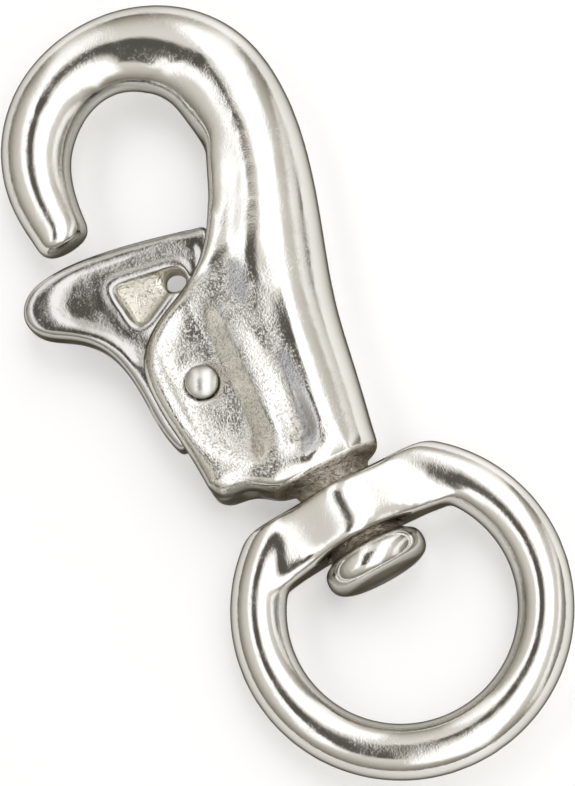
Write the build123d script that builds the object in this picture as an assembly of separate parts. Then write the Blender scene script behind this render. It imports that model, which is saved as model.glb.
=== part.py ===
from build123d import *
from math import cos, radians, sin, sqrt
import os

# Trigger snap with a round swivel eye, a nickel-plated casting.
# It lies on its side: +Z up, the snap's plane is XY, the eye turns about Y.
# The origin is the centre of the eye, and the hook lies towards +Y.

# Swivel eye: a ring of round wire, cut off flat and bridged by a bored bar
EYE_RADIUS = 19.7             # centre line of the ring
EYE_WIRE = 7.9                # diameter of the ring's section
BAR_TOP = 19.1                # top of the bar
BAR_HEIGHT = 8.3              # of the bar, at the middle
BAR_ARCH = 1.8                # how far the underside falls to the ring
HUB_THICKNESS = 14.0          # over the barrel round the bore
BAR_END_THICKNESS = 7.2       # over the bar where it meets the ring
BAR_REACH = 16.5              # half length of the bar, inside the ring
BAR_EDGE_ROUND = 1.2
SHOULDER_ROUND = 8.0          # where the flat top turns into the ring

# Shank and button head, which carry the eye
SHANK_DIAMETER = 10.4
BORE_CLEARANCE = 0.05         # radial, shank in the eye
NECK_GAP = 0.5                # between the eye's bar and the flare of the neck
NECK_LENGTH = 2.3             # between the eye's bar and the body's base
NECK_FLARE = 1.6
NECK_SINK = 0.1               # how far the flare runs on into the body
HEAD_GAP = 1.2                # between the eye's bar and the button head
HEAD_DIAMETER = 15.0
HEAD_THICKNESS = 4.9
HEAD_CORNER = 1.9
HEAD_CROWN = 0.35             # how far the head's end bulges

# From here on, heights are measured up from the body's base.
# Body: cheeks and heel
BODY_THICKNESS = 14.4         # over the two cheeks
THROAT_THICKNESS = 10.0       # over the cheeks where the hook begins
CHEEK_EDGE_ROUND = 1.7
HEEL_X = -15.4                # front of the heel
HEEL_RISE = 2.9               # underside of the heel above the base
HEEL_SIDE = 2.8               # upright front of the heel
HEEL_WIDTH = 4.8              # flat underside of the heel
HEEL_CORNER = 1.9
HEEL_SLOPE_FOOT = -7.4        # where the slope under the heel reaches the base
BASE_ROUND = 1.6              # lower end of the spine
CHEEK_EDGE = [(-16.2, 18.5), (-15.2, 24.8), (-12.6, 27.9), (-8.5, 30.2), (-3.9, 32.4),
              (-0.2, 35.7), (3.9, 42.3), (7.6, 49.9)]
CHEEK_ROOT = [(9.8, 39.6), (6.0, 30.0), (2.2, 20.0), (0.8, 9.0)]     # within the spine
TAPER = [(24.0, 0.0), (36.5, 1.0), (52.0, 2.4)]   # height, and how far each cheek has thinned

# Hook and spine, section by section from the tip round to the base: middle of the bar (x, y),
# width in the snap's plane, thickness across it, and the crest's place beside the middle
HOOK_SECTIONS = [
    (-16.95, 45.1, 7.7, 8.2, 0.4),
    (-16.90, 51.0, 8.5, 8.6, 0.4),
    (-14.95, 58.7, 9.8, 9.0, 0.5),
    (-9.50, 64.6, 10.4, 9.4, 0.5),
    (-2.00, 67.0, 10.6, 9.8, 0.5),
    (6.00, 65.0, 12.2, 10.4, 0.4),
    (11.60, 59.1, 13.6, 11.0, 0.2),
    (13.10, 51.0, 13.8, 11.7, -0.8),
    (12.20, 42.2, 13.0, 12.6, -1.8),
    (7.20, 31.3, 16.0, 14.4, -1.6),
    (3.05, 19.0, 17.0, 15.0, -1.0),
    (0.60, 7.8, 17.4, 15.0, 0.4),
    (-0.40, 0.0, 16.8, 14.8, 0.8),
]
TIP_ROUND = 1.8

# Cheek dish: the shallow sunk face round the pin
DISH_DEPTH = 1.0
DISH_EDGE = [(-5.6, 29.7), (-10.0, 27.5), (-12.8, 24.5), (-13.4, 18.5), (-12.7, 10.4), (-8.4, 5.2), (-5.0, 5.6)]
DISH_CORNER = 1.2
DISH_WALL_ROUND = 0.8         # hollow corner between its wall and its floor

# Flute: a round-bottomed groove down each face, between the cheek and the spine
FLUTE_RADIUS = 2.6
FLUTE_FOOT = (-1.0, 5.2)
FLUTE_FOOT_DEPTH = 1.6
FLUTE_HEAD = (-2.2, 27.5)
FLUTE_HEAD_DEPTH = 0.7

# Pivot pin: a rivet with two domed heads
PIVOT = (-9.3, 18.4)
PIN_DIAMETER = 3.4
PIN_CLEARANCE = 0.02          # radial, pin in the cheeks
PIN_HEAD_DIAMETER = 4.8
PIN_HEAD_HEIGHT = 1.3
PIN_HEAD_SIDE = 0.3           # upright part of the head's edge

# Trigger: gate, thumb spur, front strip and hub
SLOT_WIDTH = 7.0
TRIGGER_CLEARANCE = 0.3       # each side, trigger in the slot
TRIGGER_PIN_CLEARANCE = 0.05  # radial, hub on the pin
HUB_RADIUS = 6.0
HUB_START, HUB_MIDDLE, HUB_END = 12, -60, -118     # directions from the pivot, degrees
TAIL_RADIUS = 9.6             # pivot to the end of the front strip
TAIL_DIRECTION = 222
TAIL_SWING_END = 239.3
SWING_CLEARANCE = 0.4         # trigger to the wall of the hollow
GATE_CORNER = (1.3, 38.5)     # corner of the gate at the throat
GATE_END = 1.5                # height of the gate's end face
TRIGGER_EDGE = [(-17.3, 15.3), (-17.5, 21.5), (-17.9, 26.0), (-19.3, 30.0), (-22.6, 33.4), (-25.9, 35.9),
                (-26.9, 38.3), (-25.5, 41.2), (-21.0, 42.7), (-14.5, 42.3), (-6.8, 40.7)]
TRIGGER_EDGE_ROUND = 1.3
WEB_DEPTH = 0.4               # the gate's face below its rim
WEB_EDGE = [(-15.9, 25.5), (-16.6, 29.0), (-18.6, 32.0), (-21.2, 34.6), (-22.4, 37.5), (-20.6, 40.0),
            (-14.5, 40.3), (-6.8, 38.8), (-0.8, 36.8)]
WEB_FOOT = (-5.0, 25.5)       # corner of the sunk face inside the slot
POCKET_CORNERS = [(-14.4, 37.3), (-2.2, 34.8), (-13.6, 29.3)]
POCKET_ROUND = 1.1
POCKET_LIP = 0.8              # raised edge round the pocket
POCKET_DEPTH = 1.5
POCKET_TAPER = 15
POCKET_HOLE = (-5.9, 33.5)
POCKET_HOLE_DIAMETER = 3.1

# Spring: torsion coil round the pin, in a slit of the hub
SPRING_WIRE = 0.8
SPRING_RADIUS = 2.7           # centre line of the coil
SPRING_TURNS = 2.25
SPRING_SLIT = 3.8
SPRING_ROOM = 0.4             # spring to the walls of its slit
SPRING_PITCH = 0.88
SPRING_LEG = 7.6              # leg behind the gate
LEG_SEAT = 1.3                # how far the other leg enters the body's back wall

half_thickness = BODY_THICKNESS / 2
trigger_thickness = SLOT_WIDTH - 2 * TRIGGER_CLEARANCE
shank_radius = SHANK_DIAMETER / 2
pivot_x, pivot_y = PIVOT
body_base = BAR_TOP + NECK_LENGTH
bar_bottom = BAR_TOP - BAR_HEIGHT
head_top = bar_bottom - HEAD_GAP
head_end = head_top - HEAD_THICKNESS
dish_floor = half_thickness - DISH_DEPTH
swing_radius = TAIL_RADIUS + SWING_CLEARANCE
wall_leg_length = sqrt(swing_radius ** 2 - SPRING_RADIUS ** 2) + LEG_SEAT
on_neck = Pos(0, body_base)


def about_pivot(radius, degrees):
    """Point at a radius and direction from the pivot."""
    angle = radians(degrees)
    return (pivot_x + radius * cos(angle), pivot_y + radius * sin(angle))


def slab(face, low, high):
    """A face of the snap's plane, made solid between two heights."""
    return Pos(0, 0, low) * extrude(face, high - low)


def both_faces(solid):
    return solid + mirror(solid, about=Plane.XY)


def bar_section(width, thickness, crest):
    """Rounded section of the hook: full outside, flatter towards the hole."""
    w = width / 2
    t = thickness / 2
    outside = w - crest
    inside = w + crest
    half = [(w, 0), (crest + 0.72 * outside, 0.69 * t), (crest, t), (crest - 0.55 * inside, 0.86 * t),
            (-0.97 * w, 0.34 * t)]
    mirrored = [(x, -y) for x, y in reversed(half[1:])]
    return make_face(Spline(*half, *mirrored, periodic=True))


def hook_and_spine():
    centres = [Vector(x, y) for x, y, width, thickness, crest in HOOK_SECTIONS]
    path = Spline(*centres)
    sections = []
    for centre, (x, y, width, thickness, crest) in zip(centres, HOOK_SECTIONS):
        along = path.tangent_at(centre)
        outward = Vector(-along.Y, along.X)
        plane = Plane(origin=centre, x_dir=outward, z_dir=along)
        sections.append(plane * bar_section(width, thickness, crest))
    bar = loft(sections)
    tip = bar.faces().sort_by(lambda face: (face.center() - centres[0]).length)[0]
    bar = fillet(tip.edges(), TIP_ROUND)
    foot = bar.faces().sort_by(lambda face: (face.center() - centres[-1]).length)[0]
    return fillet(foot.edges(), BASE_ROUND)


def cheek_outline():
    """Front of the body, from the heel up the cheek into the throat, closed inside the spine."""
    heel_top = (HEEL_X, HEEL_RISE + HEEL_SIDE)
    root_foot = (CHEEK_ROOT[-1][0], 0)
    front = Spline(heel_top, *CHEEK_EDGE, tangents=[(0, 1), (1, 1.6)])
    root = Spline(CHEEK_EDGE[-1], *CHEEK_ROOT, root_foot)
    base = Polyline(root_foot, (HEEL_SLOPE_FOOT, 0), (HEEL_X + HEEL_WIDTH, HEEL_RISE), (HEEL_X, HEEL_RISE), heel_top)
    outline = make_face(front + root + base)
    heel = outline.vertices().sort_by_distance((HEEL_X, HEEL_RISE))[0]
    return fillet(heel, HEEL_CORNER)


def side_profile():
    """Body seen from the front: full thickness at the cheeks, thinner towards the hook."""
    points = [(height, half_thickness - thinning) for height, thinning in TAPER]
    top, thin = points[-1]
    edge = Spline((-1, half_thickness), *points, tangents=[(1, 0), (1, -0.1)])
    ends = Polyline((top, thin), (top, 0), (-1, 0), (-1, half_thickness))
    return both_faces(extrude(Plane.YZ * make_face(edge + ends), -2 * HEEL_X, both=True))


def cheek_plate():
    plate = extrude(cheek_outline(), half_thickness + 1, both=True) & side_profile()
    rim = [edge for edge in plate.edges()
           if abs(edge.center().Z) > THROAT_THICKNESS / 2 - 1 and edge.center().X < CHEEK_ROOT[-1][0]]
    return fillet(rim, CHEEK_EDGE_ROUND)


def dish():
    """What is sunk into one cheek: a flat floor with rounded walls."""
    edge = Spline(*DISH_EDGE, tangents=[(-1, -0.35), (1, 0.6)])
    face = make_face(edge + Line(DISH_EDGE[-1], DISH_EDGE[0]))
    face = fillet(face.vertices(), DISH_CORNER)
    tool = slab(face, dish_floor, half_thickness + 1)
    floor = tool.faces().sort_by(Axis.Z)[0]
    return fillet(floor.edges(), DISH_WALL_ROUND)


def flute():
    """Round-ended groove in one face, deep at the foot and fading upwards."""
    foot = Vector(*FLUTE_FOOT, half_thickness - FLUTE_FOOT_DEPTH + FLUTE_RADIUS)
    head = Vector(*FLUTE_HEAD, half_thickness - FLUTE_HEAD_DEPTH + FLUTE_RADIUS)
    run = head - foot
    radius = FLUTE_RADIUS
    outline = (
        Line((0, run.length + radius), (0, -radius))
        + RadiusArc((0, -radius), (radius, 0), -radius)
        + Line((radius, 0), (radius, run.length))
        + RadiusArc((radius, run.length), (0, run.length + radius), -radius)
    )
    across = Vector(0, 0, 1).cross(run)
    along_run = Plane(origin=foot, x_dir=across, z_dir=across.cross(run))
    return along_run * revolve(make_face(outline), Axis.Y)


def hollow():
    """Slot between the cheeks, and the room in which the trigger's hub and tail swing."""
    corner_x, corner_y = GATE_CORNER
    right = corner_x + SWING_CLEARANCE
    left = 1.3 * HEEL_X
    top = corner_y + 2 * GATE_END
    room = Pos(pivot_x, pivot_y) * Circle(swing_radius)
    tail = about_pivot(swing_radius, TAIL_SWING_END)
    side = about_pivot(swing_radius, 0)
    opening = make_face(Polyline(side, (right, corner_y - GATE_END), (right, top), (left, top), (left, tail[1] + 1),
                                 tail, close=True))
    return slab(room + opening, -SLOT_WIDTH / 2, SLOT_WIDTH / 2)


def spring_coil():
    """Centre line of the coil, from the leg in the back wall to the leg at the gate."""
    height = SPRING_PITCH * SPRING_TURNS
    turns = Helix(SPRING_PITCH, height, SPRING_RADIUS, lefthand=True)
    return Pos(pivot_x, pivot_y, -height / 2) * Rot(0, 0, -90) * turns


def spring_seat():
    """Blind hole of the back wall for the end of the spring's leg."""
    coil = spring_coil()
    mouth = Plane(origin=coil @ 0, z_dir=-1 * (coil % 0))
    return extrude(mouth * Circle(SPRING_WIRE / 2 + SPRING_ROOM), wall_leg_length + SPRING_ROOM)


def shank_and_head():
    """Neck, shank and upset button head, turned about the eye's axis."""
    head = HEAD_DIAMETER / 2
    crown_edge = (head - HEAD_CORNER, head_end + HEAD_CROWN)
    waist = (head, head_end + 0.55 * HEAD_THICKNESS)
    shoulder = (head - 0.85 * HEAD_CORNER, head_top)
    flare = shank_radius + NECK_FLARE
    flare_top = body_base + NECK_SINK
    inside_body = body_base + NECK_LENGTH
    neck_bottom = BAR_TOP + NECK_GAP
    outline = (
        Line((0, head_end), crown_edge)
        + ThreePointArc(crown_edge, (head - 0.24 * HEAD_CORNER, head_end + 0.25 * HEAD_THICKNESS), waist)
        + ThreePointArc(waist, (head - 0.18 * HEAD_CORNER, head_top - 0.16 * HEAD_THICKNESS), shoulder)
        + Polyline(shoulder, (shank_radius, head_top), (shank_radius, neck_bottom))
        + ThreePointArc((shank_radius, neck_bottom), (shank_radius + 0.2 * NECK_FLARE, BAR_TOP + 0.65 * NECK_LENGTH),
                        (flare, flare_top))
        + Polyline((flare, flare_top), (flare, inside_body), (0, inside_body), (0, head_end))
    )
    return revolve(make_face(outline), Axis.Y)


def pin_hole(radius):
    return Pos(pivot_x, pivot_y) * Cylinder(radius, 2 * BODY_THICKNESS)


def make_body():
    body = on_neck * (hook_and_spine() + cheek_plate()) + shank_and_head()
    body -= on_neck * both_faces(dish())
    body -= on_neck * both_faces(flute())
    body -= on_neck * hollow()
    body -= on_neck * spring_seat()
    body -= on_neck * pin_hole(PIN_DIAMETER / 2 + PIN_CLEARANCE)
    return body


def make_pivot_pin():
    shank = PIN_DIAMETER / 2
    head = PIN_HEAD_DIAMETER / 2
    top = dish_floor + PIN_HEAD_HEIGHT
    shoulder = dish_floor + PIN_HEAD_SIDE
    outline = (
        Line((0, -top), (0, top))
        + TangentArc((0, top), (head, shoulder), tangent=(1, 0))
        + Polyline((head, shoulder), (head, dish_floor), (shank, dish_floor), (shank, -dish_floor),
                   (head, -dish_floor), (head, -shoulder))
        + TangentArc((0, -top), (head, -shoulder), tangent=(1, 0))
    )
    return on_neck * Pos(pivot_x, pivot_y) * revolve(Plane.XZ * make_face(outline), Axis.Z)


def trigger_outline():
    """Gate and spur above, front strip on the left, hub round the pin."""
    tail = about_pivot(TAIL_RADIUS, TAIL_DIRECTION)
    hub_start = about_pivot(HUB_RADIUS, HUB_START)
    hub_end = about_pivot(HUB_RADIUS, HUB_END)
    gate = Spline(tail, *TRIGGER_EDGE, GATE_CORNER)
    back = Polyline(GATE_CORNER, (GATE_CORNER[0], GATE_CORNER[1] - GATE_END), hub_start)
    under = ThreePointArc(hub_start, about_pivot(HUB_RADIUS, HUB_MIDDLE), hub_end)
    return make_face(gate + back + under + Line(hub_end, tail))


def pocket_outline():
    face = make_face(Polyline(*POCKET_CORNERS, close=True))
    return fillet(face.vertices(), POCKET_ROUND)


def web():
    """What is sunk into one face of the gate, inside its rim and round the pocket's lip."""
    inside = make_face(Spline(*WEB_EDGE) + Polyline(WEB_EDGE[-1], WEB_FOOT, WEB_EDGE[0]))
    face = inside - offset(pocket_outline(), POCKET_LIP)
    top = trigger_thickness / 2
    return slab(face, top - WEB_DEPTH, top + 1)


def pocket():
    """Three-cornered pocket of one face of the gate."""
    face = pocket_outline()
    top = trigger_thickness / 2
    return extrude(Pos(0, 0, top) * face, -POCKET_DEPTH, taper=POCKET_TAPER) + slab(face, top, top + 1)


def spring_slit():
    """Slit of the hub: room for the coil, and the way that the body's leg sweeps."""
    coil_room = SPRING_RADIUS + SPRING_WIRE / 2 + SPRING_ROOM
    reach = HUB_RADIUS + 2
    left = pivot_x - coil_room
    sweep_room = Polyline((left, pivot_y), (left, pivot_y - reach), (pivot_x + reach, pivot_y - reach),
                          (pivot_x + reach, pivot_y), close=True)
    leg_width = SPRING_WIRE + 2 * SPRING_ROOM
    leg_top = pivot_y + SPRING_LEG + 3 * SPRING_ROOM
    leg_room = Polyline((left, pivot_y), (left, leg_top), (left + leg_width, leg_top), (left + leg_width, pivot_y),
                        close=True)
    shape = Pos(pivot_x, pivot_y) * Circle(coil_room) + make_face(sweep_room) + make_face(leg_room)
    return slab(shape, -SPRING_SLIT / 2, SPRING_SLIT / 2)


def make_trigger():
    solid = extrude(trigger_outline(), trigger_thickness / 2, both=True)
    long_edge = 2 * TAIL_RADIUS
    rim = [edge for edge in solid.edges() if abs(edge.center().Z) > 1 and edge.length > long_edge]
    solid = fillet(rim, TRIGGER_EDGE_ROUND)
    solid -= both_faces(web())
    solid -= both_faces(pocket())
    solid -= Pos(*POCKET_HOLE) * Cylinder(POCKET_HOLE_DIAMETER / 2, 2 * SLOT_WIDTH)
    solid -= pin_hole(PIN_DIAMETER / 2 + TRIGGER_PIN_CLEARANCE)
    solid -= spring_slit()
    return on_neck * solid


def eye_bar():
    """Bar across the ring: thick round the bore, hollow-sided towards the ring."""
    end = bar_bottom - BAR_ARCH
    top = Polyline((BAR_REACH, end), (BAR_REACH, BAR_TOP), (-BAR_REACH, BAR_TOP), (-BAR_REACH, end))
    front = make_face(top + ThreePointArc((-BAR_REACH, end), (0, bar_bottom), (BAR_REACH, end)))
    hub = HUB_THICKNESS / 2
    wing = BAR_END_THICKNESS / 2
    side = [(-1.06 * BAR_REACH, wing), (-0.7 * BAR_REACH, 1.03 * wing), (-0.38 * BAR_REACH, 1.36 * wing), (0, hub),
            (0.38 * BAR_REACH, 1.36 * wing), (0.7 * BAR_REACH, 1.03 * wing), (1.06 * BAR_REACH, wing)]
    crest = Spline(*side)
    foot = [(x, -z) for x, z in side]
    plan = make_face(crest + Spline(*foot) + Line(side[0], foot[0]) + Line(side[-1], foot[-1]))
    above = Plane(origin=(0, 0, 0), x_dir=(1, 0, 0), z_dir=(0, -1, 0)) * plan
    bar = extrude(front, HUB_THICKNESS, both=True) & extrude(above, 2 * EYE_RADIUS, both=True)
    edges = [edge for edge in bar.edges() if edge.length > BAR_REACH]
    bar = fillet(edges, BAR_EDGE_ROUND)
    return bar & Cylinder(EYE_RADIUS, 2 * HUB_THICKNESS)


def eye_outline():
    """Front of the eye: round, cut off flat above, with rounded shoulders."""
    disc = Circle(EYE_RADIUS + EYE_WIRE / 2 + 0.5)
    above = Pos(0, BAR_TOP + EYE_RADIUS) * Rectangle(4 * EYE_RADIUS, 2 * EYE_RADIUS)
    face = disc - above
    shoulders = face.vertices().sort_by(Axis.Y)[-2:]
    return fillet(shoulders, SHOULDER_ROUND)


def make_swivel_eye():
    wire = Plane.XZ * Pos(EYE_RADIUS, 0) * Circle(EYE_WIRE / 2)
    eye = revolve(wire, Axis.Z) + eye_bar()
    eye &= extrude(eye_outline(), HUB_THICKNESS, both=True)
    bore = Cylinder(shank_radius + BORE_CLEARANCE, 2 * BAR_HEIGHT)
    return eye - Pos(0, BAR_TOP - BAR_HEIGHT / 2) * Rot(90, 0, 0) * bore


def make_spring():
    """Coil round the pin, one leg in the body's back wall and one up behind the gate."""
    coil = spring_coil()
    start, along_start = coil @ 0, coil % 0
    end, along_end = coil @ 1, coil % 1
    wall_leg = Line(start - along_start * wall_leg_length, start)
    gate_leg = Line(end, end + along_end * SPRING_LEG)
    path = Wire([wall_leg] + coil.edges() + [gate_leg])
    return on_neck * sweep(Plane(origin=path @ 0, z_dir=path % 0) * Circle(SPRING_WIRE / 2), path)


os.makedirs("parts", exist_ok=True)
export_step(make_body(), "parts/body.step")
export_step(make_pivot_pin(), "parts/pivot_pin.step")
export_step(make_trigger(), "parts/trigger.step")
export_step(make_swivel_eye(), "parts/swivel_eye.step")
export_step(make_spring(), "parts/spring.step")
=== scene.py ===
from math import cos, radians, sin, tan

import bmesh
import bpy
from mathutils import Matrix, Vector


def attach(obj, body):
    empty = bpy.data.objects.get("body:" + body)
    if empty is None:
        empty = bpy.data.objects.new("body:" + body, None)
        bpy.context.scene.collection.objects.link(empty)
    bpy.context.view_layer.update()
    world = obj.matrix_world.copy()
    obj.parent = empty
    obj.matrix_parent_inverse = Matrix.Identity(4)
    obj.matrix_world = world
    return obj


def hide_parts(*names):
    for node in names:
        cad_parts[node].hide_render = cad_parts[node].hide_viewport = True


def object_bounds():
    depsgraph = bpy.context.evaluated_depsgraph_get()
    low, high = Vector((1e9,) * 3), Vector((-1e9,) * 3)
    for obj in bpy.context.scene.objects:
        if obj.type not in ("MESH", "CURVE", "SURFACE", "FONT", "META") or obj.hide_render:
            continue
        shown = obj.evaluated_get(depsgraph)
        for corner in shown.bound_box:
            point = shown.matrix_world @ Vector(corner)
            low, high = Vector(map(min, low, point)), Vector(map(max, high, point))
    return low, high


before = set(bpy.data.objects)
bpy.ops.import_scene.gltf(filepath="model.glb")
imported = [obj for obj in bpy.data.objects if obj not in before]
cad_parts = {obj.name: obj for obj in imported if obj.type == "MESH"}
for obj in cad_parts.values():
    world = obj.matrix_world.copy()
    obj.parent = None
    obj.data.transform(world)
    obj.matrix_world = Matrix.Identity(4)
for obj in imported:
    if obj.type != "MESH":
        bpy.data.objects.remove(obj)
size_of_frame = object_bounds()


# Body: the hook, the two cheeks, the neck and the button head are one casting of malleable
# iron. It is cast in sand, tumbled until its edges are soft, and nickel plated, so its
# crests shine and its hollows keep the grain of the sand.

MM = 0.001


def smooth(skin, verts, rounds):
    for turn in range(rounds):
        bmesh.ops.smooth_vert(skin, verts=verts, factor=0.5,
                              use_axis_x=True, use_axis_y=True, use_axis_z=True)


def even_skin(node, name, face_size):
    """A new piece with the closed skin of a CAD node, in even faces of that size."""
    skin = bmesh.new()
    skin.from_mesh(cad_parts[node].data)
    bmesh.ops.remove_doubles(skin, verts=skin.verts, dist=1e-6)
    bmesh.ops.recalc_face_normals(skin, faces=skin.faces)
    uneven = bpy.data.meshes.new(name)
    skin.to_mesh(uneven)
    skin.free()
    piece = bpy.data.objects.new(name, uneven)
    bpy.context.scene.collection.objects.link(piece)
    even = piece.modifiers.new("even", "REMESH")
    even.mode = "VOXEL"
    even.voxel_size = face_size * MM
    even.use_smooth_shade = True
    depsgraph = bpy.context.evaluated_depsgraph_get()
    meshed = bpy.data.meshes.new_from_object(piece.evaluated_get(depsgraph))
    piece.modifiers.clear()
    piece.data = meshed
    bpy.data.meshes.remove(uneven)
    meshed.name = name
    return piece


def place_of(vert):
    """Place of a vertex in millimetres, with the snap's two faces folded onto one."""
    return vert.co.x / MM, vert.co.y / MM, abs(vert.co.z) / MM


def mark(mesh, name, values):
    layer = mesh.attributes.new(name, "FLOAT", "POINT")
    layer.data.foreach_set("value", values)


def soft_casting(node, name, face_size, rounds, reach, worn=(), reform=None, crisp=None):
    """The skin of a CAD node with its edges softened as tumbling does. Places are in
    millimetres. It is softer still inside the boxes of worn, each given by two corners and
    its rounds, and stays as it is within crisp, a disc given by its centre, radius and half
    height. Reform gives each vertex its height above the middle plane.
    The attribute "hollow" is 0 on open faces and rises in recesses, as far out as reach
    rounds carry it. "side" is 0 on flat faces and 1 on upright ones, and "lean" is the sine
    of a face's tilt towards the hook's tip."""
    piece = even_skin(node, name, face_size)
    skin = bmesh.new()
    skin.from_mesh(piece.data)
    free = skin.verts
    if crisp:
        centre, radius, half_height = crisp
        free = [v for v in skin.verts
                if place_of(v)[2] > half_height or (v.co.xy / MM - Vector(centre)).length > radius]
    smooth(skin, free, rounds)
    if reform:
        for v in skin.verts:
            level = reform(*place_of(v)) * MM
            v.co.z = level if v.co.z > 0 else -level
    for low, high, more in worn:
        inside = [v for v in skin.verts if all(a < c < b for a, c, b in zip(low, place_of(v), high))]
        smooth(skin, inside, more)
    skin.normal_update()
    bmesh.ops.recalc_face_normals(skin, faces=skin.faces)
    skin.verts.ensure_lookup_table()
    places = [v.co.copy() for v in skin.verts]
    normals = [v.normal.copy() for v in skin.verts]
    smooth(skin, skin.verts, reach)
    hollow = [(v.co - p).dot(n) / MM for v, p, n in zip(skin.verts, places, normals)]
    for v, p in zip(skin.verts, places):
        v.co = p
    for face in skin.faces:
        face.smooth = True
    skin.to_mesh(piece.data)
    skin.free()
    mark(piece.data, "hollow", hollow)
    mark(piece.data, "side", [1 - abs(n.z) for n in normals])
    mark(piece.data, "lean", [n.y * sin(ROLL) - n.x * cos(ROLL) for n in normals])
    return piece


class Value:
    """A socket of a shader tree, with the arithmetic operators as Math nodes."""

    def __init__(self, tree, socket=None):
        self.tree = tree
        self.socket = socket

    def node(self, kind, settings=None, out=0, **inputs):
        """Adds a node, sets its settings, then gives its sockets values or links. A socket
        goes by its name, or by i and its number."""
        made = self.tree.nodes.new(kind)
        for key, value in (settings or {}).items():
            setattr(made, key, value)
        for key, value in inputs.items():
            numbered = key[0] == "i" and key[1:].isdigit()
            target = made.inputs[int(key[1:]) if numbered else key.replace("_", " ")]
            if isinstance(value, Value):
                self.tree.links.new(value.socket, target)
            else:
                target.default_value = value
        return Value(self.tree, made.outputs[out])

    def maths(self, operation, first, second):
        return self.node("ShaderNodeMath", {"operation": operation}, i0=first, i1=second)

    def __add__(self, other):
        return self.maths("ADD", self, other)

    def __sub__(self, other):
        return self.maths("SUBTRACT", self, other)

    def __mul__(self, other):
        return self.maths("MULTIPLY", self, other)

    def __rsub__(self, other):
        return self.maths("SUBTRACT", other, self)

    __radd__ = __add__
    __rmul__ = __mul__

    def rise(self, low, high, start=0.0, end=1.0):
        """Smooth step from start to end as the value goes from low to high."""
        return self.node("ShaderNodeMapRange", {"interpolation_type": "SMOOTHSTEP"}, Value=self,
                         From_Min=low, From_Max=high, To_Min=start, To_Max=end)

    def within(self, low, high, soft):
        """1 from low to high, falling to 0 over soft on either side."""
        return self.rise(low - soft, low) * self.rise(high, high + soft, 1.0, 0.0)

    def mix(self, first, second):
        """The colour that lies this share of the way from the first to the second."""
        return self.node("ShaderNodeMix", {"data_type": "RGBA"}, out=2, i0=self, i6=first, i7=second)

    def attribute(self, name):
        return self.node("ShaderNodeAttribute", {"attribute_name": name}, out=2)

    def axis(self, number):
        return self.node("ShaderNodeSeparateXYZ", out=number, Vector=self)

    def noise(self, cells, detail, roughness, offset):
        """Noise with so many cells per metre, moved by the offset."""
        place = self.node("ShaderNodeVectorMath", {"operation": "ADD"}, i0=self, i1=offset)
        return self.node("ShaderNodeTexNoise", Vector=place, Scale=cells, Detail=detail, Roughness=roughness)

    def in_box(self, low, high, soft):
        """1 inside the box between two corners in millimetres, on both faces of the snap."""
        share = 1.0
        for number, start, end in zip(range(3), low, high):
            along = self.axis(number)
            if number == 2:
                along = along.node("ShaderNodeMath", {"operation": "ABSOLUTE"}, i0=along)
            share = share * along.within((start + soft) * MM, (end - soft) * MM, 2 * soft * MM)
        return share


def casting_surface(name, offset):
    """A new material, the point on its piece, and the patches in which plating varies."""
    material = bpy.data.materials.new(name)
    material.use_nodes = True
    place = Value(material.node_tree).node("ShaderNodeTexCoord", out=3)
    return material, place, place.noise(260, 2, 0.5, offset)


SHADE_AND_BARE_TONE = (0.60, 0.57, 0.51, 1)
SIDE_SHADE_TONE = (0.42, 0.405, 0.36, 1)
GRAZING_TONE = (0.10, 0.09, 0.075, 1)
WAVE_HEIGHT = 6e-5
GRAIN_HEIGHT = 1.6e-5
PIT_DEPTH = 1.8e-5
SAND_HEIGHT = 0.8e-5
RECESS_SAND_HEIGHT = 9e-5
BARE_HEIGHT = 3.5e-4


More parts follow.
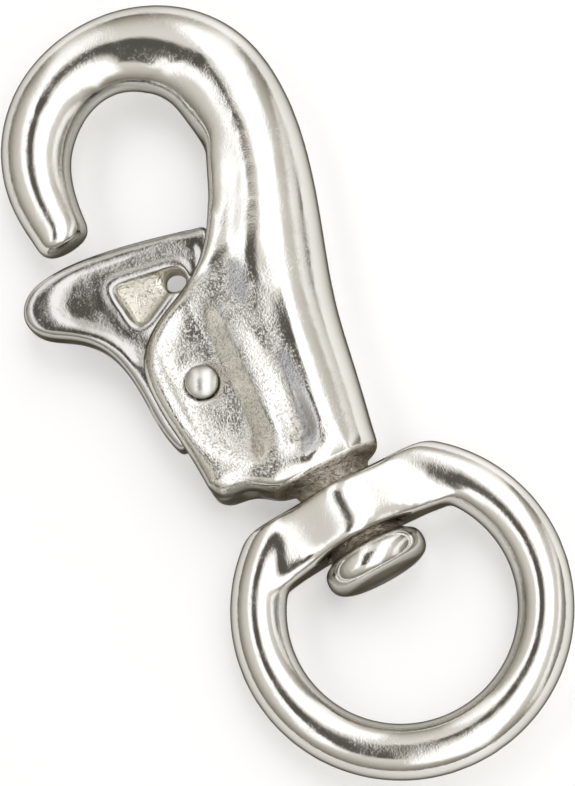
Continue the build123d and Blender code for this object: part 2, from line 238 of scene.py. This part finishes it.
def nickel(place, patches, offset, plate, shine, grain, recess, sandy=None, bare=None, tints=()):
    """Plated cast metal on the material of place: bright on open faces, and rough and grainy
    where "hollow" lies in the range of recess, with painted shade there as a darker base colour.
    Upright faces get painted shade as well. Sandy is extra grain of the mould, bare is
    where the plating is thin, and each tint is a share and its colour."""
    sunk = place.attribute("hollow") + (patches - 0.5) * 0.06
    dull_and_shaded = sunk.rise(*recess)
    if bare:
        dull_and_shaded = dull_and_shaded + bare * 1.2
    grains = patches.rise(0.35, 0.7, 0.3, 1.3) * grain
    pits = grains * 0.3
    if sandy:
        grains = grains + sandy * patches.rise(0.25, 0.65, 0.6, 1.3)
        pits = pits + sandy * patches.rise(0.25, 0.65, 0.4, 1.2)

    wave = place.noise(170, 1, 0.4, offset)
    sand = place.noise(1500, 3, 0.6, offset)
    fine = place.noise(3600, 2, 0.6, offset)
    specks = place.noise(2600, 2, 0.7, (0.4, 0.1, 0.2)).rise(0.56, 0.70)
    height = wave * WAVE_HEIGHT + fine * (grains + dull_and_shaded * 1.5) * GRAIN_HEIGHT
    height = height + sand * (dull_and_shaded * RECESS_SAND_HEIGHT + grains * SAND_HEIGHT)
    height = height - specks * (pits + dull_and_shaded * 2.0) * PIT_DEPTH
    if bare:
        height = height + place.noise(900, 3, 0.65, offset) * (bare * BARE_HEIGHT)
    bump = place.node("ShaderNodeBump", Strength=1.0, Distance=1.0, Height=height)

    upright = place.attribute("side").rise(0.30, 0.85)
    rough = patches.rise(0.35, 0.75, -0.02, 0.05) + shine + dull_and_shaded * 0.22 + upright * 0.05
    # Partly painted shade: the base colour goes towards a grey-tan where the hollows lie, standing in for
    # shade in recesses, and where the neck's plating is thin, which is that part's own tone.
    tone = (dull_and_shaded * 0.55).mix(plate, SHADE_AND_BARE_TONE)
    # Painted shade: upright faces, the rims and sides, are mixed towards a dark grey as though they lay in
    # shade.
    tone = (upright * 0.75).mix(tone, SIDE_SHADE_TONE)
    for share, colour in tints:
        tone = share.mix(tone, colour)

    surface = place.tree.nodes["Principled BSDF"]
    place.tree.links.new(bump.socket, surface.inputs["Normal"])
    place.tree.links.new(rough.socket, surface.inputs["Roughness"])
    place.tree.links.new(tone.socket, surface.inputs["Base Color"])
    surface.inputs["Metallic"].default_value = 1.0
    surface.inputs["Specular Tint"].default_value = GRAZING_TONE


def step(value, low, high):
    """Smooth step from 0 to 1 as the value goes from low to high."""
    t = min(max((value - low) / (high - low), 0.0), 1.0)
    return t * t * (3 - 2 * t)


ROLL = radians(28)            # how far the snap lies turned from upright in the view

# Forms of the cheek's face, in millimetres above the middle plane
CHEEK_FACE = 7.2
DISH_FLOOR = 6.2
CREST_SINK = 0.20             # crest between dish and flute, below the face
FLUTE_SINK = 0.15             # bottom of the flute at its head, below the face
FLUTE_DEEPENS = 0.50          # further down its length
FLUTE_SCOOP = 0.6             # and once more at its foot
DISH_TOP = (48.0, 52.5)       # where the dish rises to the face, towards the hook
DISH_BOTTOM = (29.5, 26.5)    # and towards the heel
FLUTE_LENGTH = (53.0, 38.0)   # from its head to its full depth
SCOOP_LENGTH = (36.0, 28.0)
THIN_FROM, THINNING = 45.4, 0.08          # the cheek thins from here on to the hook
SLOPE_FOOT, SLOPE_LEAN = (-5.1, 27.5), 0.057
SLOPE_HALF = 1.5
FLUTE_FOOT, FLUTE_LEAN = (-1.4, 26.0), 0.29
FORMED_FROM, FORMED_TO = 25.5, 56.0
BLEND_BOTTOM, BLEND_TOP = (26.0, 27.5), (55.5, 50.5)
FORMED_LEFT, FORMED_RIGHT = 1.8, 3.8      # beside the slope and beside the flute
CHEEK_SKIN = 5.2              # what lies lower isn't the cheek's face


def cheek_form(x, y, z):
    """Height of the face between the dish and the spine: a slope up from the dish to a low
    crest, a fall into the flute, and a slope up to the spine."""
    slope = SLOPE_FOOT[0] + (y - SLOPE_FOOT[1]) * SLOPE_LEAN
    flute = FLUTE_FOOT[0] + (y - FLUTE_FOOT[1]) * FLUTE_LEAN
    across = slope - FORMED_LEFT < x < flute + FORMED_RIGHT
    if z < CHEEK_SKIN or not across or not FORMED_FROM < y < FORMED_TO:
        return z
    face = max(CHEEK_FACE - max(y - THIN_FROM, 0) * THINNING, z)
    dish_ends = max(step(y, *DISH_TOP), step(y, *DISH_BOTTOM))
    floor = DISH_FLOOR + (face - DISH_FLOOR) * dish_ends
    crest = face - CREST_SINK
    bed = face - FLUTE_SINK - FLUTE_DEEPENS * step(y, *FLUTE_LENGTH) - FLUTE_SCOOP * step(y, *SCOOP_LENGTH)
    climb = min(max((x - slope + SLOPE_HALF) / (2 * SLOPE_HALF), 0), 1)
    level = floor + (crest - floor) * climb
    level += (bed - crest) * step(x, slope + 1.3, flute)
    level += (z - bed) * step(x, flute - 0.4, flute + 3.6)
    share = step(y, *BLEND_BOTTOM) * step(y, *BLEND_TOP)
    return z + (level - z) * share


worn_cheek = ((-14.6, 24.0, 5.0), (4.0, 54.0, 9.0), 12)
worn_heel = ((-16.5, 20.3, 2.0), (4.0, 26.5, 9.0), 40)
worn_throat = ((3.0, 56.0, 0.0), (12.0, 82.0, 6.0), 40)
body = soft_casting("body", "cast_body", 0.42, 16, 60, [worn_cheek, worn_heel, worn_throat], cheek_form)

plated_body, place, patches = casting_surface("nickel_on_body", (0, 0, 0))
cheek = 2.2 * place.in_box((-15, 24, 4.5), (3, 53, 20), 1.2)
shank = place.axis(1).within(9.3 * MM, 21.5 * MM, 0.6 * MM)
# Painted reflection: cheek faces that lean towards the hook's tip are tinted tan beside the dish and
# blue-grey in the flute, standing in for reflected bands of the tent and of the dark camera hole.
slope_reflection_share = place.attribute("lean").rise(0.05, 0.14) * cheek.rise(0.4, 1.6) * patches.rise(0.1, 0.5, 0.75, 1.0)
slope_reflection_tone = place.axis(0).rise(-3.5 * MM, -1.0 * MM).mix((0.36, 0.33, 0.255, 1), (0.36, 0.37, 0.385, 1))
blotches = place.noise(1100, 3, 0.6, (0, 0, 0)).rise(0.35, 0.65)
shank_tint = (shank * (0.45 + blotches * 0.5), (0.33, 0.28, 0.22, 1))
nickel(place, patches, (0, 0, 0), (0.84, 0.825, 0.79, 1), shine=0.10, grain=1.0, recess=(0.04, 0.26),
       sandy=cheek, bare=shank, tints=[(slope_reflection_share * 0.7, slope_reflection_tone), shank_tint])
body.data.materials.append(plated_body)
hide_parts("body")
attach(body, "snap_body")


# Trigger: a second casting, thinner and rougher than the body. Its gate and spur are one
# plate with a rim, a grainy face and a three-cornered pocket with a small hole, and the
# slit in its hub stays crisp round the spring.

worn_pocket = ((-16.5, 49.0, 1.0), (0.5, 60.5, 4.0), 26)
spring_slit = ((-9.3, 39.8), 8.2, 2.3)
trigger = soft_casting("trigger", "cast_trigger", 0.24, 28, 50, [worn_pocket], crisp=spring_slit)

plated_trigger, place, patches = casting_surface("nickel_on_trigger", (0.2, 0.1, 0))
pocket = 3.0 * place.in_box((-15, 50, 0), (-2, 59, 2.4), 0.6)
# Painted shade: the trigger's plate is a darker grey than the body's nickel, so its flat face reads dark as
# the dark it mirrors makes it look.
nickel(place, patches, (0.2, 0.1, 0), (0.62, 0.61, 0.59, 1), shine=0.13, grain=1.6, recess=(0.02, 0.12),
       sandy=pocket, tints=[(pocket.rise(0.3, 2.0, 0.0, 0.9), (0.90, 0.86, 0.76, 1))])
trigger.data.materials.append(plated_trigger)
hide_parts("trigger")
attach(trigger, "trigger_body")


# Swivel eye: a casting as well, tumbled brighter than the body. The bar across it swells
# round the bore in which the body's shank turns.

eye = soft_casting("swivel_eye", "cast_eye", 0.42, 14, 60)
plated_eye, place, patches = casting_surface("nickel_on_eye", (0, 0.3, 0.1))
nickel(place, patches, (0, 0.3, 0.1), (0.84, 0.825, 0.79, 1), shine=0.09, grain=0.8, recess=(0.08, 0.35))
eye.data.materials.append(plated_eye)
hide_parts("swivel_eye")
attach(eye, "eye_body")


# Pivot pin: a steel rivet. It was pushed through both cheeks and the trigger's hub, headed
# over on each side with a round snap tool, and plated with the body.

pin = soft_casting("pivot_pin", "rivet", 0.12, 24, 10)
plated_pin, place, patches = casting_surface("nickel_on_pin", (0.3, 0.2, 0))
nickel(place, patches, (0.3, 0.2, 0), (0.84, 0.825, 0.79, 1), shine=0.27, grain=1.0, recess=(0.30, 0.60))
pin.data.materials.append(plated_pin)
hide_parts("pivot_pin")
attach(pin, "snap_body")


# Spring: drawn steel wire, coiled round the pin inside the slit of the trigger's hub. The
# CAD node has its shape, so it only gets its wire's bare finish.

spring_wire = bpy.data.materials.new("spring_wire")
spring_wire.use_nodes = True
wire = spring_wire.node_tree.nodes["Principled BSDF"]
wire.inputs["Base Color"].default_value = (0.42, 0.41, 0.40, 1)
wire.inputs["Metallic"].default_value = 1.0
wire.inputs["Roughness"].default_value = 0.32
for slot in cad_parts["spring"].material_slots:
    slot.material = spring_wire


# Camera: it looks down on the snap from about an arm's length, a little from the eye's end,
# and is rolled so that the snap lies across the picture with its hook at the upper left.

TILT = radians(11.3)
DISTANCE = 0.9
VIEW_HEIGHT = 0.10808         # what the picture's height covers at the snap
SENSOR = 24
middle = Vector((0.0003, 0.034, 0))
towards = Vector((0, -tan(TILT), 1)).normalized()
right = Vector((sin(ROLL), cos(ROLL), 0)).cross(towards).normalized()
up = towards.cross(right)
camera_data = bpy.data.cameras.new("camera")
camera = bpy.data.objects.new("camera", camera_data)
bpy.context.scene.collection.objects.link(camera)
turned = Matrix((right, up, towards)).transposed().to_4x4()
camera.matrix_world = Matrix.Translation(middle + towards * DISTANCE) @ turned
camera_data.sensor_fit = "VERTICAL"
camera_data.sensor_height = SENSOR
camera_data.lens = SENSOR * DISTANCE / VIEW_HEIGHT
camera_data.clip_end = 10
bpy.context.scene.camera = camera


# Table: a sheet of pale acrylic with a satin face, lit a little from below, so that the snap
# casts only a faint shadow. It ends well outside the picture.

TABLE_RADIUS = 3.0
TABLE_GAP = 0.0002            # between the table and the snap
floor_skin = bmesh.new()
bmesh.ops.create_circle(floor_skin, cap_ends=True, radius=TABLE_RADIUS, segments=96)
bmesh.ops.translate(floor_skin, verts=floor_skin.verts, vec=(0, 0, size_of_frame[0][2] - TABLE_GAP))
floor_mesh = bpy.data.meshes.new("table")
floor_skin.to_mesh(floor_mesh)
floor_skin.free()
floor = bpy.data.objects.new("table", floor_mesh)
bpy.context.scene.collection.objects.link(floor)
pale = bpy.data.materials.new("pale_table")
pale.use_nodes = True
acrylic = pale.node_tree.nodes["Principled BSDF"]
acrylic.inputs["Base Color"].default_value = (0.96, 0.96, 0.96, 1)
acrylic.inputs["Metallic"].default_value = 0.85
acrylic.inputs["Roughness"].default_value = 0.45
acrylic.inputs["Emission Color"].default_value = (1, 1, 1, 1)
acrylic.inputs["Emission Strength"].default_value = 0.22
floor_mesh.materials.append(pale)


# Light tent: white cloth on all sides, dim below and bright above, with three lit panels
# in it and one dark place, the hole that the camera looks through.

tent = bpy.data.worlds.new("light_tent")
bpy.context.scene.world = tent
tent.use_nodes = True
direction = Value(tent.node_tree).node("ShaderNodeTexCoord", out=0)


def along(axis):
    """Cosine between the direction of the light and the axis."""
    return direction.node("ShaderNodeVectorMath", {"operation": "DOT_PRODUCT"}, out=1, i0=direction, i1=axis)


def panel(left, right_end, soft_side, low, high, soft_end):
    """1 on a rectangle of the tent, falling to 0 over its soft edges. Its sides are cosines
    along the picture's width, and its ends are cosines along its height."""
    sides = across.rise(left, left + soft_side) * across.rise(right_end, right_end + soft_side, 1.0, 0.0)
    return sides * above.rise(low, low + soft_end) * above.rise(high, high + soft_end, 1.0, 0.0)


across, above, height = along(right), along(up), along(Vector((0, 0, 1)))
main_light = panel(-0.11, 0.46, 0.10, -0.85, 0.90, 0.15)
left_light = panel(-0.72, -0.44, 0.12, -0.60, 0.80, 0.20)
strip_light = panel(0.72, 0.86, 0.06, -0.60, 0.60, 0.20)
camera_gap = panel(-0.47, -0.19, 0.08, -0.50, 0.42, 0.12)
GAP_LEVEL = 0.10
walls = height.rise(-0.2, 0.9, 0.12, 0.80)
lit = walls + main_light * 0.64 + left_light * 0.50 + strip_light * 0.50
seen = lit - camera_gap * (lit - GAP_LEVEL)
light_tone = seen.rise(0.3, 1.2).mix((1.0, 0.935, 0.82, 1), (1.0, 1.0, 1.0, 1))
background = tent.node_tree.nodes["Background"]
tent.node_tree.links.new(light_tone.socket, background.inputs["Color"])
tent.node_tree.links.new(seen.socket, background.inputs["Strength"])
bpy.context.scene.view_settings.view_transform = "Standard"
